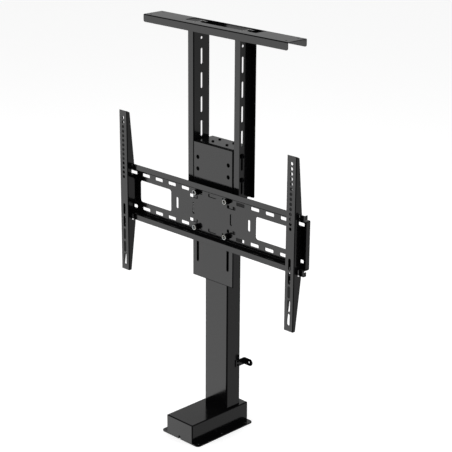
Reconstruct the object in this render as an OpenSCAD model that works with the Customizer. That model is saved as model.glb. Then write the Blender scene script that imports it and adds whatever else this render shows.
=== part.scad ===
// Motorized tv mount: a telescopic lifting column on a floor base, with a
// carriage, a slotted tv plate with two sliding arms, and a lid support on top.
// Millimetres. X to the right, Y to the back, Z up. The column's centre line is
// the Z axis and the underside of the base plate is Z = 0.
// Shown lowered, the way it is photographed.

/* [Base] */
// Width of the flanged base plate
base_plate_w = 139; // [130:1:220]
// Width of the base cover
base_cover_w = 97; // [88:1:120]
// Reach of the base in front of the column's centre
base_front = 159; // [150:1:220]
// Reach of the base behind the column's centre
base_back = 48.5; // [40:0.5:80]
// Height of the base cover's top above the floor
base_h = 54.5; // [53.5:0.5:70]
// Base plate thickness
base_plate_t = 3; // [3:0.5:4]
// Corner radius of the base plate
base_corner_r = 10; // [4:1:14]
// Floor screw hole diameter
floor_hole_d = 6; // [4:0.5:8]
// Floor screw holes, left row to right row
floor_hole_span = 118; // [112:1:200]
// Floor screw holes, pitch along each row
floor_hole_pitch = 88; // [60:1:92]
// Front-to-back place of the middle floor screw holes
floor_hole_mid = -60; // [-66:1:-55]
// Width of the cable notch
notch_w = 7; // [5:0.5:12]
// Height of the cable notch
notch_h = 10; // [7:0.5:14]

/* [Column] */
// Outer column width
col_w = 82.5; // [76:0.5:84]
// Outer column depth
col_d = 50; // [48:1:54]
// Column wall
col_wall = 2; // [1.5:0.5:2.5]
// Corner radius of the outer column
col_r = 4; // [3:0.5:6]
// Height of the outer column's top edge
col_top = 741; // [700:1:741]
// Inner column width
inner_w = 66; // [60:1:66]
// Inner column depth
inner_d = 39; // [37:1:39]
// Lower end of the inner column when lowered
inner_bottom = 62; // [61:1:90]
// Travel of the lift
stroke = 560; // [300:10:570]

/* [Drive] */
// Lead screw diameter
screw_d = 14; // [12:1:16]
// Height of the lead screw's upper end
screw_top = 664; // [660:1:680]
// Running gap between the screw and its nut
nut_gap = 0.3; // [0.2:0.05:0.5]
// Worm wheel teeth
wheel_teeth = 12; // [12:1:12]
// Gear module
gear_m = 1.5; // [1.5:0.1:1.5]
// Pitch radius of the worm
worm_r = 6.5; // [6.5:0.1:6.5]
// Height of the motor and worm axis
motor_z = 27; // [26:0.5:28]
// Motor can diameter
motor_d = 40; // [36:1:41]
// Motor can length
motor_len = 88; // [70:1:92]

/* [Carriage] */
// Width of the carriage plate
plate_w = 140; // [136:0.5:141.2]
// Width of the carriage behind its plate
carriage_w = 135; // [130:1:136]
// Lower edge of the carriage's sides
side_low = 515; // [490:1:560]
// Width of the carriage plate below the uprights
plate_low_w = 147; // [141.5:0.5:150]
// Lower edge of the carriage plate
plate_bottom = 412.5; // [400:0.5:440]
// Top of the carriage
carriage_top = 779; // [779:1:779]
// Radius on the front edges of the carriage plate
plate_edge_r = 2.6; // [1:0.1:2.8]
// Head diameter of the screws in the carriage's cap
cap_head_d = 7.5; // [7:0.5:10]
// Carriage plate thickness
plate_t = 3; // [3:0.5:3]
// Spacing of the plate's holes and slots, left to right
plate_hole_span = 109; // [108:1:110]
// Lower end of the carriage plate's slots
slot_low = 453.5; // [445:0.5:460]
// Upper end of the carriage plate's slots
slot_high = 662; // [655:1:665]
// Width of the carriage plate's slots
plate_slot_w = 8.5; // [8.5:0.1:9]
// Upper screw hole diameter
plate_hole_d = 11; // [8:0.5:12]

/* [Uprights] */
// Clear width between the two uprights
upright_gap = 142; // [140:1:144]
// Flange width of an upright
upright_flange = 20; // [16:1:24]
// Depth of an upright
upright_d = 57; // [54:1:57]
// Front-to-back centre of the uprights
upright_y = -8.85; // [-8.85:0.05:-8.85]
// Lower end of the uprights
upright_bottom = 647; // [630:1:660]
// Height of the topmost slot's centre
slot_top_z = 990.8; // [985:0.1:1000]
// Slot pitch
upright_pitch = 62.2; // [62.2:0.1:62.2]
// Height of the upper side screws
side_bolt_top = 758.5; // [758:0.1:759]
// Slot length
upright_slot_l = 41; // [38:0.5:42]
// Slot width
upright_slot_w = 6.5; // [6.4:0.1:7]

/* [Lid support] */
// Length of the lid support
lid_l = 500; // [400:1:600]
// Depth of the lid support
lid_d = 67; // [66:1:70]
// Height of the lid support's flanges
lid_flange = 20; // [14:0.5:24]
// Height of the lid support's top face
lid_z = 1077.5; // [1077.5:0.5:1077.5]
// Lid screw holes, left to right
lid_hole_span = 468; // [360:1:480]
// Lid screw holes, front to back
lid_hole_depth = 42; // [36:1:46]
// Lid screw hole diameter
lid_hole_d = 5.5; // [4:0.5:6.5]

/* [Tv plate] */
// Length of the tv plate
tv_l = 662; // [640:2:680]
// Height of the tv plate over its lips
tv_h = 155; // [150:1:160]
// Height of the tv plate's centre
tv_z = 597; // [597:0.5:597]
// Depth from web to lips
tv_ledge = 18; // [16:0.5:20]
// Height of a lip
tv_lip = 14.5; // [12:0.5:15]
// Slot pitch along the plate
tv_pitch = 50; // [50:1:50]
// Distance between the two slot rows
tv_rows = 94; // [94:0.5:94]
// Slot length
tv_slot_l = 28.5; // [26:0.5:30]
// Slot height
tv_slot_h = 9; // [8.5:0.1:10]
// Near edge of a window from the centre
window_in = 153; // [146:1:160]
// Far edge of a window from the centre
window_out = 273; // [265:1:280]
// Height of a window
window_h = 60; // [50:1:64]

/* [Arms] */
// Distance between the two arms' hole rows
arm_span = 600; // [600:1:600]
// Width of an arm
arm_w = 30; // [27:0.5:32]
// Length of an arm
arm_l = 445; // [430:1:450]
// Front face of the arms
arm_y = -75.4; // [-76:0.1:-73]
// Depth of an arm's side walls at its top
arm_depth_top = 10.6; // [9:0.1:13]
// Depth of an arm's side walls at its lower end
arm_depth_low = 8.9; // [7:0.1:12]
// Depth of an arm's side walls at the tv plate's lower lip
arm_depth_lip = 25.9; // [24:0.1:27]
// Depth of an arm's side walls between the tv plate's lips
arm_depth_mid = 25; // [22:0.1:27]
// Inner radius of an arm's folds
arm_bend_r = 0.4; // [0.3:0.1:1.5]
// Pitch of the round holes
arm_hole_pitch = 12.5; // [12.5:0.1:12.5]
// Round holes in an arm
arm_holes = 14; // [10:1:14]
// Top edge to first hole
arm_hole_top = 19; // [16:0.5:22]
// Hole diameter
arm_hole_d = 8.5; // [6.5:0.5:9]
// Slot length of an arm
arm_slot_l = 31; // [24:0.5:32]
// Slot pitch of an arm
arm_slot_pitch = 35.7; // [34:0.1:37]

/* [Screws] */
// Head diameter of the tv plate's screws
bolt_head_d = 14.5; // [13:0.5:16]
// Head height of the tv plate's screws
bolt_head_h = 5.5; // [4:0.5:6]
// Diameter of the collars under those heads
collar_d = 13; // [12:0.5:14]
// Length of the collars
collar_l = 7; // [5:0.5:9]
// Diameter of the collars' feet and of the nuts' washers
washer_d = 17; // [16:0.5:17]
// Thickness of the nuts' washers
washer_t = 1.6; // [1:0.1:2]
// Height of the tv plate's nuts
nut_h = 6.4; // [5:0.1:7]
// Washer diameter of the uprights' screws
side_washer_d = 14; // [12:0.5:16]
// Head diameter of the uprights' screws
side_head_d = 10; // [9:0.5:11]
// Length of the lid screws
lid_screw_l = 14; // [12:0.5:14]
// Head diameter of an arm's lock screw
lock_head_d = 9; // [8:0.5:10]
// Head height of an arm's lock screw
lock_head_h = 8; // [5:0.5:9]
// Reach of an arm's lock screw below its shelf
lock_drop = 13; // [8:0.5:16]

/* [Sheet and clearances] */
// Sheet thickness of the folded parts
sheet = 2; // [1.5:0.5:2]
// Inner radius of the folds
bend_r = 1; // [0.5:0.5:1.5]
// Gap between parts that slide
slide_gap = 0.3; // [0.2:0.05:0.5]

/* [Hidden] */
$fn = 48;
eps = 0.02;
fold_r = bend_r + sheet;

black = [0.13, 0.13, 0.14];
dark = [0.20, 0.20, 0.22];
steel = [0.66, 0.67, 0.69];
zinc = [0.78, 0.79, 0.80];
nylon = [0.90, 0.89, 0.85];
bronze = [0.70, 0.52, 0.28];
green = [0.16, 0.38, 0.24];

base_len = base_front + base_back;
base_mid = (base_back - base_front) / 2;
cover_in = base_cover_w / 2 - sheet;
cav_w = col_w - 2 * col_wall;
cav_d = col_d - 2 * col_wall;
in_cav_w = inner_w - 2 * col_wall;
in_cav_d = inner_d - 2 * col_wall;
head_low = col_top + 5;
wheel_r = gear_m * wheel_teeth / 2;
worm_x = -(wheel_r + worm_r);
worm_lead = PI * gear_m;
worm_half = 9;
tooth_h = 1.1;
mesh_gap = 0.3;
plate_front = -38.6;
plate_back = plate_front + plate_t;
plate_top = carriage_top - 1.5;
cap_under = carriage_top - sheet;
tv_back = plate_front;
tv_face = tv_back - sheet;
lip_face = tv_face - tv_ledge;
tv_half = tv_h / 2;
ledge_in = tv_half - tv_lip;
up_front = upright_y - upright_d / 2;
up_back = upright_y + upright_d / 2;
up_in = upright_gap / 2;
up_out = up_in + upright_flange;
up_top = lid_z - sheet;
side_out = carriage_w / 2;
side_in = side_out - sheet;
side_back = 18;
side_cut = 16;
side_cut_h = 30;
carriage_back = 24.5;
lid_front = -43;
lid_back = lid_front + lid_d;
side_bolt_z = [side_bolt_top, side_bolt_top - upright_pitch];
lid_screw_x = 81.5;
lid_screw_y = [-22, 4];

// flat rounded rectangle, centred
module rr(w, d, r) {
  union() {
    square([w - 2 * r, d], center = true);
    square([w, d - 2 * r], center = true);
    for (sx = [-1, 1], sy = [-1, 1])
      translate([sx * (w / 2 - r), sy * (d / 2 - r)]) circle(r);
  }
}

// folded channel in plan: web along X at y = 0, legs towards +Y
module channel(w, d, ri = bend_r) {
  intersection() {
    translate([-w / 2, 0]) square([w, d]);
    translate([0, d]) difference() {
      rr(w, 2 * d, ri + sheet);
      rr(w - 2 * sheet, 2 * (d - sheet), ri);
    }
  }
}

// quarter of a fold round its centre, in the quadrant of the two signs
module fold_at(x, y, sx, sy, ri = bend_r, ro = fold_r) {
  translate([x, y]) intersection() {
    difference() {
      circle(ro);
      circle(ri);
    }
    translate([sx > 0 ? 0 : -ro, sy > 0 ? 0 : -ro]) square(ro);
  }
}

// what a round corner of radius r takes off a square one, quadrant as above
module corner_off(r, sx, sy) {
  difference() {
    translate([sx > 0 ? 0 : -r - 1, sy > 0 ? 0 : -r - 1]) square(r + 1);
    circle(r);
  }
}

// slot cutter through X, long along Z
module slot_x(x0, x1, y, z, l, w) {
  run = l - w;
  translate([x0, y - w / 2, z - run / 2]) cube([x1 - x0, w, run]);
  for (s = [-1, 1]) translate([x0, y, z + s * run / 2])
    rotate([0, 90, 0]) cylinder(d = w, h = x1 - x0);
}

// slot cutter through Y, long along Z
module slot_y(x, y0, y1, z, l, w) {
  run = l - w;
  translate([x - w / 2, y0, z - run / 2]) cube([w, y1 - y0, run]);
  for (s = [-1, 1]) translate([x, y1, z + s * run / 2])
    rotate([90, 0, 0]) cylinder(d = w, h = y1 - y0);
}

// rounded rectangular cutter through Y
module win_y(x, y0, y1, z, w, h, r) {
  translate([x, y1, z]) rotate([90, 0, 0])
    linear_extrude(height = y1 - y0) rr(w, h, r);
}

// round cutters along each axis
module hole_y(x, y0, y1, z, d) {
  translate([x, y1, z]) rotate([90, 0, 0]) cylinder(d = d, h = y1 - y0);
}
module hole_x(x0, x1, y, z, d) {
  translate([x0, y, z]) rotate([0, 90, 0]) cylinder(d = d, h = x1 - x0);
}
module hole_z(x, y, z0, z1, d) {
  translate([x, y, z0]) cylinder(d = d, h = z1 - z0);
}

// hexagonal prism along Y
module hex_y(x, y0, y1, z, af) {
  translate([x, y1, z]) rotate([90, 0, 0])
    cylinder(r = af / 2 / cos(30), h = y1 - y0, $fn = 6);
}
module hex_x(x0, x1, y, z, af) {
  translate([x0, y, z]) rotate([0, 90, 0])
    cylinder(r = af / 2 / cos(30), h = x1 - x0, $fn = 6);
}

cover_screw_at = [[-37, -148], [37, -148], [-37, 38], [37, 38]];

// floor plate with its screw flanges
module base_plate() {
  color(black) difference() {
    translate([0, base_mid, 0]) linear_extrude(height = base_plate_t)
      rr(base_plate_w, base_len, base_corner_r);
    for (sx = [-1, 1], k = [-1, 0, 1])
      hole_z(sx * floor_hole_span / 2, floor_hole_mid + k * floor_hole_pitch,
        -1, base_plate_t + 1, floor_hole_d);
    translate([-notch_w / 2, -base_front - 1, -1]) cube([notch_w, 5, base_plate_t + 2]);
    for (p = cover_screw_at) {
      hole_z(p[0], p[1], -1, base_plate_t + 1, 4.4);
      translate([p[0], p[1], -eps]) cylinder(r1 = 4.2, r2 = 2.2, h = 2);
    }
  }
}

// box on the base's centre with round upright and upper edges
module round_box(w, d, z0, z1, r) {
  h = z1 - z0;
  translate([0, base_mid, z0]) intersection() {
    linear_extrude(height = h) rr(w, d, r);
    translate([0, d, 0]) rotate([90, 0, 0]) linear_extrude(height = 2 * d)
      rr(w, 2 * h, r);
    translate([-w, 0, 0]) rotate([90, 0, 90]) linear_extrude(height = 2 * w)
      rr(d, 2 * h, r);
  }
}

// folded cover with a collar opening for the column
module base_cover() {
  color(black) difference() {
    union() {
      difference() {
        round_box(base_cover_w, base_len, base_plate_t, base_h, fold_r);
        round_box(base_cover_w - 2 * sheet, base_len - 2 * sheet,
          base_plate_t - 1, base_h - sheet, bend_r);
      }
      for (p = cover_screw_at)
        translate([p[0] > 0 ? p[0] - 5 : -cover_in - eps, p[1] - 6, base_plate_t])
          cube([cover_in - abs(p[0]) + 5 + eps, 12, 3]);
    }
    translate([0, 0, base_h - sheet - 1]) linear_extrude(height = sheet + 2)
      rr(col_w + 0.6, col_d + 0.6, col_r + 0.3);
    translate([-notch_w / 2, -base_front - 1, base_plate_t - 1])
      cube([notch_w, sheet + 2, notch_h - notch_w / 2 - base_plate_t + 1]);
    hole_y(0, -base_front - 1, -base_front + sheet + 1, notch_h - notch_w / 2, notch_w);
    for (p = cover_screw_at) hole_z(p[0], p[1], base_plate_t - 1, base_plate_t + 4, 4);
  }
}

// countersunk screws from below
module cover_screws() {
  color(zinc) for (p = cover_screw_at) translate([p[0], p[1], 0]) difference() {
    union() {
      translate([0, 0, 0.2]) cylinder(r1 = 3.8, r2 = 2.1, h = 1.7);
      translate([0, 0, 0.2]) cylinder(r = 2, h = 7.8);
    }
    translate([-0.6, -2.6, -1]) cube([1.2, 5.2, 2]);
    translate([-2.6, -0.6, -1]) cube([5.2, 1.2, 2]);
  }
}

// outer telescopic tube, with a window for the motor's nose at its foot
module column_tube() {
  color(black) difference() {
    translate([0, 0, base_plate_t]) linear_extrude(height = col_top - base_plate_t)
      difference() {
        rr(col_w, col_d, col_r);
        rr(cav_w, cav_d, col_r - col_wall);
      }
    translate([-30, -col_d / 2 - 1, base_plate_t - 1]) cube([40, col_wall + 2, 48]);
    for (z = clip_z) hole_x(col_w / 2 - col_wall - 1, col_w / 2 + 1, clip_screw_y, z, 3);
  }
}

// triangular ribs between the tube's foot and the base plate
module column_gussets() {
  color(black) {
    for (x = [-22, 19]) translate([x, col_d / 2, base_plate_t])
      rotate([90, 0, 90]) linear_extrude(height = 3)
        polygon([[0, 0], [20, 0], [0, 42]]);
    translate([22, -col_d / 2, base_plate_t]) rotate([90, 0, 90]) linear_extrude(height = 3)
      polygon([[0, 0], [-28, 0], [0, 42]]);
  }
}

// plastic guide in the mouth of the outer tube
guide_l = 48;
module upper_guide() {
  color(nylon) difference() {
    union() {
      translate([0, 0, col_top - guide_l]) linear_extrude(height = guide_l)
        rr(cav_w, cav_d, col_r - col_wall);
      translate([0, 0, col_top]) linear_extrude(height = 3) rr(col_w, col_d, col_r);
    }
    translate([0, 0, col_top - guide_l - 1]) linear_extrude(height = guide_l + 12)
      rr(inner_w + 2 * slide_gap, inner_d + 2 * slide_gap, col_r + slide_gap);
  }
}

gb_x0 = -27;
gb_x1 = 15;
gb_y = 20;
gb_top = 44;
gb_screw_at = [[-24, -17], [-24, 17], [12, -17], [12, 17]];
wheel_half = 2.5;
wheel_cav = wheel_r + tooth_h + 1.5;
worm_cav = worm_r + tooth_h + 0.9;

// gear housing with the wheel and worm chambers
module gearbox_body() {
  color(steel) difference() {
    translate([gb_x0, -gb_y, base_plate_t])
      cube([gb_x1 - gb_x0, 2 * gb_y, gb_top - base_plate_t]);
    hole_z(0, 0, motor_z - wheel_half - 1, gb_top + 1, 2 * wheel_cav);
    hole_z(0, 0, base_plate_t + 4, motor_z, 2 * (4 + slide_gap));
    hole_y(worm_x, -gb_y - 1, worm_half + 1, motor_z, 2 * worm_cav);
    hole_y(worm_x, worm_half, gb_y - 2, motor_z, 2 * (3 + slide_gap));
    for (p = gb_screw_at) hole_z(p[0], p[1], gb_top - 9, gb_top + 1, 3);
  }
}

// lid of the gear housing, carrying the screw's bearing
module gearbox_cover() {
  color(steel) difference() {
    translate([gb_x0, -gb_y, gb_top]) cube([gb_x1 - gb_x0, 2 * gb_y, 4]);
    hole_z(0, 0, gb_top - 1, gb_top + 5, 2 * (6 + slide_gap));
    for (p = gb_screw_at) hole_z(p[0], p[1], gb_top - 1, gb_top + 5, 3.4);
  }
}

module gearbox_screws() {
  color(zinc) for (p = gb_screw_at) translate([p[0], p[1], 0]) difference() {
    union() {
      translate([0, 0, gb_top - 8]) cylinder(d = 3, h = 12);
      translate([0, 0, gb_top + 4]) cylinder(d = 5.4, h = 2.4);
    }
    translate([0, 0, gb_top + 5]) cylinder(r = 1.4, h = 3, $fn = 6);
  }
}

// thrust bearing, shown as one closed ring
module thrust_bearing() {
  color(steel) difference() {
    hole_z(0, 0, gb_top + 4, gb_top + 9, 24);
    hole_z(0, 0, gb_top + 3, gb_top + 10, 2 * (6 + slide_gap));
  }
}

motor_front = -30;
motor_end = motor_front - motor_len;

// sealed motor can with its mounting nose
module motor_can() {
  color(dark) difference() {
    union() {
      hole_y(worm_x, motor_end, motor_front, motor_z, motor_d);
      hole_y(worm_x, motor_front, -gb_y, motor_z, 18);
    }
    hole_y(worm_x, motor_front - 12, -gb_y + 1, motor_z, 2 * (3 + slide_gap));
  }
}

// rear cap with two terminals
module motor_cap() {
  color(dark) union() {
    hole_y(worm_x, motor_end - 5, motor_end, motor_z, motor_d - 4);
    hole_y(worm_x, motor_end - 8, motor_end - 5, motor_z, 12);
    for (s = [-1, 1]) translate([worm_x + s * 11 - 0.4, motor_end - 10, motor_z - 3])
      cube([0.8, 6, 5]);
  }
}

// rubber cradle under the can
module motor_cradle() {
  color(dark) difference() {
    translate([worm_x - 17, motor_end + 12, base_plate_t]) cube([34, 30, 12]);
    hole_y(worm_x, motor_end + 11, motor_end + 43, motor_z, motor_d);
  }
}

board_x = 26;
board_y0 = -142;
board_y1 = -62;

// controller board on four stand-offs
module control_board() {
  color(green) union() {
    translate([board_x - 14, board_y0, 9]) cube([28, board_y1 - board_y0, 1.6]);
    for (sx = [-1, 1], y = [board_y0 + 4, board_y1 - 4])
      hole_z(board_x + sx * 11, y, base_plate_t, 9, 5);
  }
}

// relays, capacitor and terminal block on the board
module board_parts() {
  color(dark) {
    for (y = [-128, -108]) translate([board_x - 9, y, 10.6]) cube([18, 15, 14]);
    hole_z(board_x - 5, -84, 10.6, 26.6, 12);
    translate([board_x - 11, -75, 10.6]) cube([22, 9, 10]);
  }
}

// power inlet behind the cable notch
module power_socket() {
  color(dark) difference() {
    translate([-6, -base_front + sheet, base_plate_t]) cube([12, 15, 11]);
    hole_y(0, -base_front + sheet - 1, -base_front + sheet + 10, base_plate_t + 4.5, 5);
  }
}

clip_t = 2.5;
clip_fold = clip_t + bend_r;
clip_y1 = 41;
clip_mid = 177;
clip_h = 19;
clip_z = [clip_mid - 5, clip_mid + 5];
clip_screw_y = 14;
clip_hole_x = 60.4;
clip_end = 62.5;

// angled wall fixing on the column's side
module wall_clip() {
  x0 = col_w / 2;
  color(black) difference() {
    union() {
      translate([0, 0, clip_mid - clip_h / 2]) linear_extrude(height = clip_h) union() {
        translate([x0, 7]) square([clip_t, clip_y1 - 7 - clip_fold]);
        translate([x0 + clip_fold, clip_y1 - clip_t])
          square([clip_end - x0 - clip_fold, clip_t]);
        fold_at(x0 + clip_fold, clip_y1 - clip_fold, -1, 1, bend_r, clip_fold);
      }
      hole_y(clip_end, clip_y1 - clip_t, clip_y1, clip_mid, clip_h);
    }
    for (z = clip_z) hole_x(x0 - 1, x0 + clip_t + 1, clip_screw_y, z, 3.4);
    hole_y(clip_hole_x, clip_y1 - clip_t - 1, clip_y1 + 1, clip_mid, 5.5);
  }
}

module clip_screws() {
  x0 = col_w / 2;
  color(dark) for (z = clip_z) difference() {
    union() {
      hole_x(x0 - col_wall, x0 + clip_t, clip_screw_y, z, 3);
      hole_x(x0 + clip_t, x0 + clip_t + 1.6, clip_screw_y, z, 5.6);
    }
    hex_x(x0 + clip_t + 0.4, x0 + clip_t + 3, clip_screw_y, z, 2.4);
  }
}

// lead screw with its journals and thrust collar
module lead_screw() {
  color(steel) union() {
    hole_z(0, 0, base_plate_t + 5, motor_z - wheel_half, 8);
    hole_z(0, 0, motor_z - wheel_half, gb_top - 2, 10);
    hole_z(0, 0, gb_top - 2, gb_top + 9, 12);
    hole_z(0, 0, gb_top + 9 + slide_gap, gb_top + 13, 22);
    hole_z(0, 0, gb_top + 9, screw_top, screw_d > 12 ? 12 : screw_d);
    hole_z(0, 0, gb_top + 13, screw_top - 10, screw_d);
  }
}

// worm wheel: straight teeth with generous backlash
module worm_wheel() {
  ro = wheel_r + tooth_h;
  ri = worm_wheel_root;
  step = 360 / wheel_teeth;
  pts = [for (i = [0 : wheel_teeth - 1]) let (a = 180 + step / 2 + i * step)
    for (q = [[ri, -9.8], [wheel_r, -5.4], [ro, -3.1], [ro, 3.1], [wheel_r, 5.4], [ri, 9.8]])
      [q[0] * cos(a + q[1]), q[0] * sin(a + q[1])]];
  color(bronze) translate([0, 0, motor_z - wheel_half])
    linear_extrude(height = 2 * wheel_half) difference() {
      polygon(pts);
      circle(r = 5);
    }
}
worm_wheel_root = -worm_x - worm_r - tooth_h - mesh_gap;
worm_core = -worm_x - wheel_r - tooth_h - mesh_gap;

// plastic bush on the screw's upper end
module screw_bush() {
  color(nylon) difference() {
    hole_z(0, 0, screw_top - 10, screw_top, in_cav_d - 2 * slide_gap);
    hole_z(0, 0, screw_top - 11, screw_top + 1, 12);
  }
}

// motor shaft with a single-start right-hand worm
module worm_shaft() {
  n = 18;
  prof = [for (i = [0 : n - 1]) let (a = i * 360 / n,
      u = abs(a > 180 ? 360 - a : a),
      r = u <= 38 ? worm_r + tooth_h
        : u >= 84 ? worm_core - 0.3
        : worm_r + tooth_h - (u - 38) / (84 - 38) * (worm_r + tooth_h - worm_core + 0.3))
    [r * cos(a), r * sin(a)]];
  color(steel) union() {
    hole_y(worm_x, motor_front - 10, gb_y - 3, motor_z, 6);
    hole_y(worm_x, -worm_half, worm_half, motor_z, 2 * worm_core);
    translate([worm_x, -worm_half, motor_z]) rotate([-90, 0, 0])
      rotate([0, 0, -360 * worm_half / worm_lead])
        linear_extrude(height = 2 * worm_half, twist = -360 * 2 * worm_half / worm_lead,
          slices = 40, convexity = 6) polygon(prof);
  }
}

// inner telescopic tube
module inner_tube() {
  color(steel) difference() {
    translate([0, 0, inner_bottom]) linear_extrude(height = cap_under - inner_bottom)
      difference() {
        rr(inner_w, inner_d, col_r);
        rr(in_cav_w, in_cav_d, col_r - col_wall);
      }
    for (s = [-1, 1]) hole_x(s > 0 ? 20 : -40, s > 0 ? 40 : -20, 0, inner_bottom + 15, 6);
  }
}

// screws that hold the carriage's cap on the inner tube's head
plug_screw_at = [for (x = [-25, 25], y = [-14, 10.5]) [x, y]];
plug_l = 25;
cap_screw_l = 16;
cap_screw_rise = 2.4;

// threaded block in the inner tube's head
module end_plug() {
  color(zinc) difference() {
    translate([0, 0, cap_under - plug_l]) linear_extrude(height = plug_l)
      rr(in_cav_w, in_cav_d, col_r - col_wall);
    for (p = plug_screw_at)
      hole_z(p[0], p[1], carriage_top - cap_screw_l - 2, carriage_top, 5);
  }
}

module plug_screws() {
  color(dark) for (p = plug_screw_at) translate([p[0], p[1], carriage_top]) difference() {
    union() {
      translate([0, 0, -cap_screw_l]) cylinder(d = 5, h = cap_screw_l);
      cylinder(d = cap_head_d, h = cap_screw_rise);
    }
    translate([0, 0, cap_screw_rise - 1.6]) cylinder(r = 2.2, h = 3, $fn = 6);
  }
}

// plastic shoe round the inner tube's foot
module lower_guide() {
  color(nylon) translate([0, 0, inner_bottom]) linear_extrude(height = 40) difference() {
    rr(cav_w - 2 * slide_gap, cav_d - 2 * slide_gap, col_r - col_wall);
    rr(inner_w, inner_d, col_r);
  }
}

// nut block that rides on the screw
module lead_nut() {
  color(bronze) difference() {
    translate([0, 0, inner_bottom]) linear_extrude(height = 30)
      rr(in_cav_w, in_cav_d, col_r - col_wall);
    hole_z(0, 0, inner_bottom - 1, inner_bottom + 31, screw_d + 2 * nut_gap);
    for (s = [-1, 1]) hole_x(s > 0 ? 24 : -40, s > 0 ? 40 : -24, 0, inner_bottom + 15, 6);
  }
}

module nut_pins() {
  color(steel) for (s = [-1, 1])
    hole_x(s > 0 ? 24.5 : -inner_w / 2, s > 0 ? inner_w / 2 : -24.5, 0, inner_bottom + 15, 6);
}

// folded carriage: top cap, two sides, a back flange and two front flanges
module carriage_bracket() {
  flange_low = 690;
  flange_in = 42;
  depth = carriage_back - plate_back;
  color(black) difference() {
    union() {
      difference() {
        translate([0, plate_back, carriage_top]) rotate([-90, 0, 0])
          linear_extrude(height = depth) channel(2 * side_out, carriage_top - side_low);
        translate([0, plate_back + fold_r, 0]) rotate([90, 0, 90])
          linear_extrude(height = 4 * side_out, center = true)
            translate([0, carriage_top - fold_r]) corner_off(fold_r, -1, 1);
        translate([-side_out - 1, side_back, side_low - 1])
          cube([2 * side_out + 2, carriage_back, head_low - side_low + 1]);
        translate([-side_out - 1, side_back + 1, side_low]) rotate([90, 0, 90])
          linear_extrude(height = 2 * side_out + 2) polygon([[0, -1], [-side_cut - 1, -1],
            [-side_cut - 1, side_cut_h], [0, side_cut_h + side_cut + 1]]);
      }
      for (s = [-1, 1]) translate([s > 0 ? flange_in : -side_in - eps, plate_back, flange_low])
        cube([side_in - flange_in + eps, sheet, carriage_top - fold_r - flange_low]);
      translate([-side_in + 1, carriage_back - sheet, head_low])
        cube([2 * side_in - 2, sheet, carriage_top - head_low - eps]);
    }
    for (p = plug_screw_at) hole_z(p[0], p[1], cap_under - 1, carriage_top + 1, 5.4);
    for (z = side_bolt_z) hole_x(-side_out - 1, side_out + 1, upright_y, z, 6.4);
    for (sx = [-1, 1], z = [706, 737])
      hole_y(sx * plate_hole_span / 2, plate_back - 1, plate_back + sheet + 1, z, plate_hole_d);
  }
}

// upright plate from z0 to z1 with rolled front edges
module rolled_plate(w, z0, z1) {
  h = z1 - z0;
  translate([0, plate_back, z0 + h / 2]) intersection() {
    rotate([90, 0, 0]) linear_extrude(height = plate_t) rr(w, h, 3);
    linear_extrude(height = 2 * h, center = true) rr(w, 2 * plate_t, plate_edge_r);
    rotate([90, 0, 90]) linear_extrude(height = 2 * w, center = true)
      rr(2 * plate_t, h, plate_edge_r);
  }
}

// long slotted plate that the tv plate bolts to, wider below the uprights
module carriage_plate() {
  color(black) difference() {
    union() {
      rolled_plate(plate_w, plate_bottom, plate_top);
      rolled_plate(plate_low_w, plate_bottom, upright_bottom - 7);
    }
    for (sx = [-1, 1]) {
      slot_y(sx * plate_hole_span / 2, plate_front - 1, plate_back + 1,
        (slot_low + slot_high) / 2, slot_high - slot_low, plate_slot_w);
      for (z = [706, 737])
        hole_y(sx * plate_hole_span / 2, plate_front - 1, plate_back + 1, z, plate_hole_d);
    }
  }
}

// channels behind the slots, in which the nuts slide and can't turn
rail_w = washer_d + 2 * slide_gap + 2 * sheet;
rail_d = 12;
module slot_rails() {
  color(black) for (sx = [-1, 1])
    translate([sx * plate_hole_span / 2, plate_back + rail_d, slot_low - 4.5])
      linear_extrude(height = slot_high - slot_low + 9.5) mirror([0, 1])
        channel(rail_w, rail_d);
}

// screws through the uprights' slots
module side_bolts() {
  color(dark) for (s = [-1, 1], z = side_bolt_z) mirror([s < 0 ? 1 : 0, 0, 0]) difference() {
    union() {
      hole_x(side_in - 8, up_in + sheet + 1.5, upright_y, z, 6);
      hole_x(up_in + sheet, up_in + sheet + 1.5, upright_y, z, side_washer_d);
      hole_x(up_in + sheet + 1.5, up_in + sheet + 5, upright_y, z, side_head_d);
    }
    hex_x(up_in + sheet + 3, up_in + sheet + 6, upright_y, z, 4);
  }
}

module side_spacers() {
  color(zinc) for (s = [-1, 1], z = side_bolt_z) mirror([s < 0 ? 1 : 0, 0, 0]) difference() {
    hole_x(side_out, up_in, upright_y, z, 13);
    hole_x(side_out - 1, up_in + 1, upright_y, z, 6.4);
  }
}

module side_nuts() {
  color(zinc) for (s = [-1, 1], z = side_bolt_z) mirror([s < 0 ? 1 : 0, 0, 0]) difference() {
    hex_x(side_in - 5, side_in, upright_y, z, 10);
    hole_x(side_in - 6, side_in + 1, upright_y, z, 6);
  }
}

// channel that opens outwards, right-hand one
module upright() {
  corner = 4;
  difference() {
    union() {
      translate([up_in, upright_y, upright_bottom]) rotate([0, 0, -90])
        linear_extrude(height = up_top - upright_bottom) channel(upright_d, upright_flange);
      translate([up_in, upright_y, up_top - sheet]) linear_extrude(height = sheet)
        intersection() {
          translate([upright_flange, 0]) rr(2 * upright_flange, upright_d, fold_r);
          translate([0, -upright_d / 2]) square([upright_flange, upright_d]);
        }
    }
    translate([up_out - corner, up_back + 1, upright_bottom + corner]) rotate([90, 0, 0])
      linear_extrude(height = upright_d + 2) corner_off(corner, 1, -1);
    for (i = [0 : 5]) slot_x(up_in - 1, up_in + sheet + 1, upright_y,
      slot_top_z - i * upright_pitch, upright_slot_l, upright_slot_w);
    hole_x(up_in - 1, up_in + sheet + 1, upright_y, 1037.4, 7);
    for (y = lid_screw_y) hole_z(lid_screw_x, y, up_top - sheet - 1, up_top + 1, 6.4);
  }
}
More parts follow.
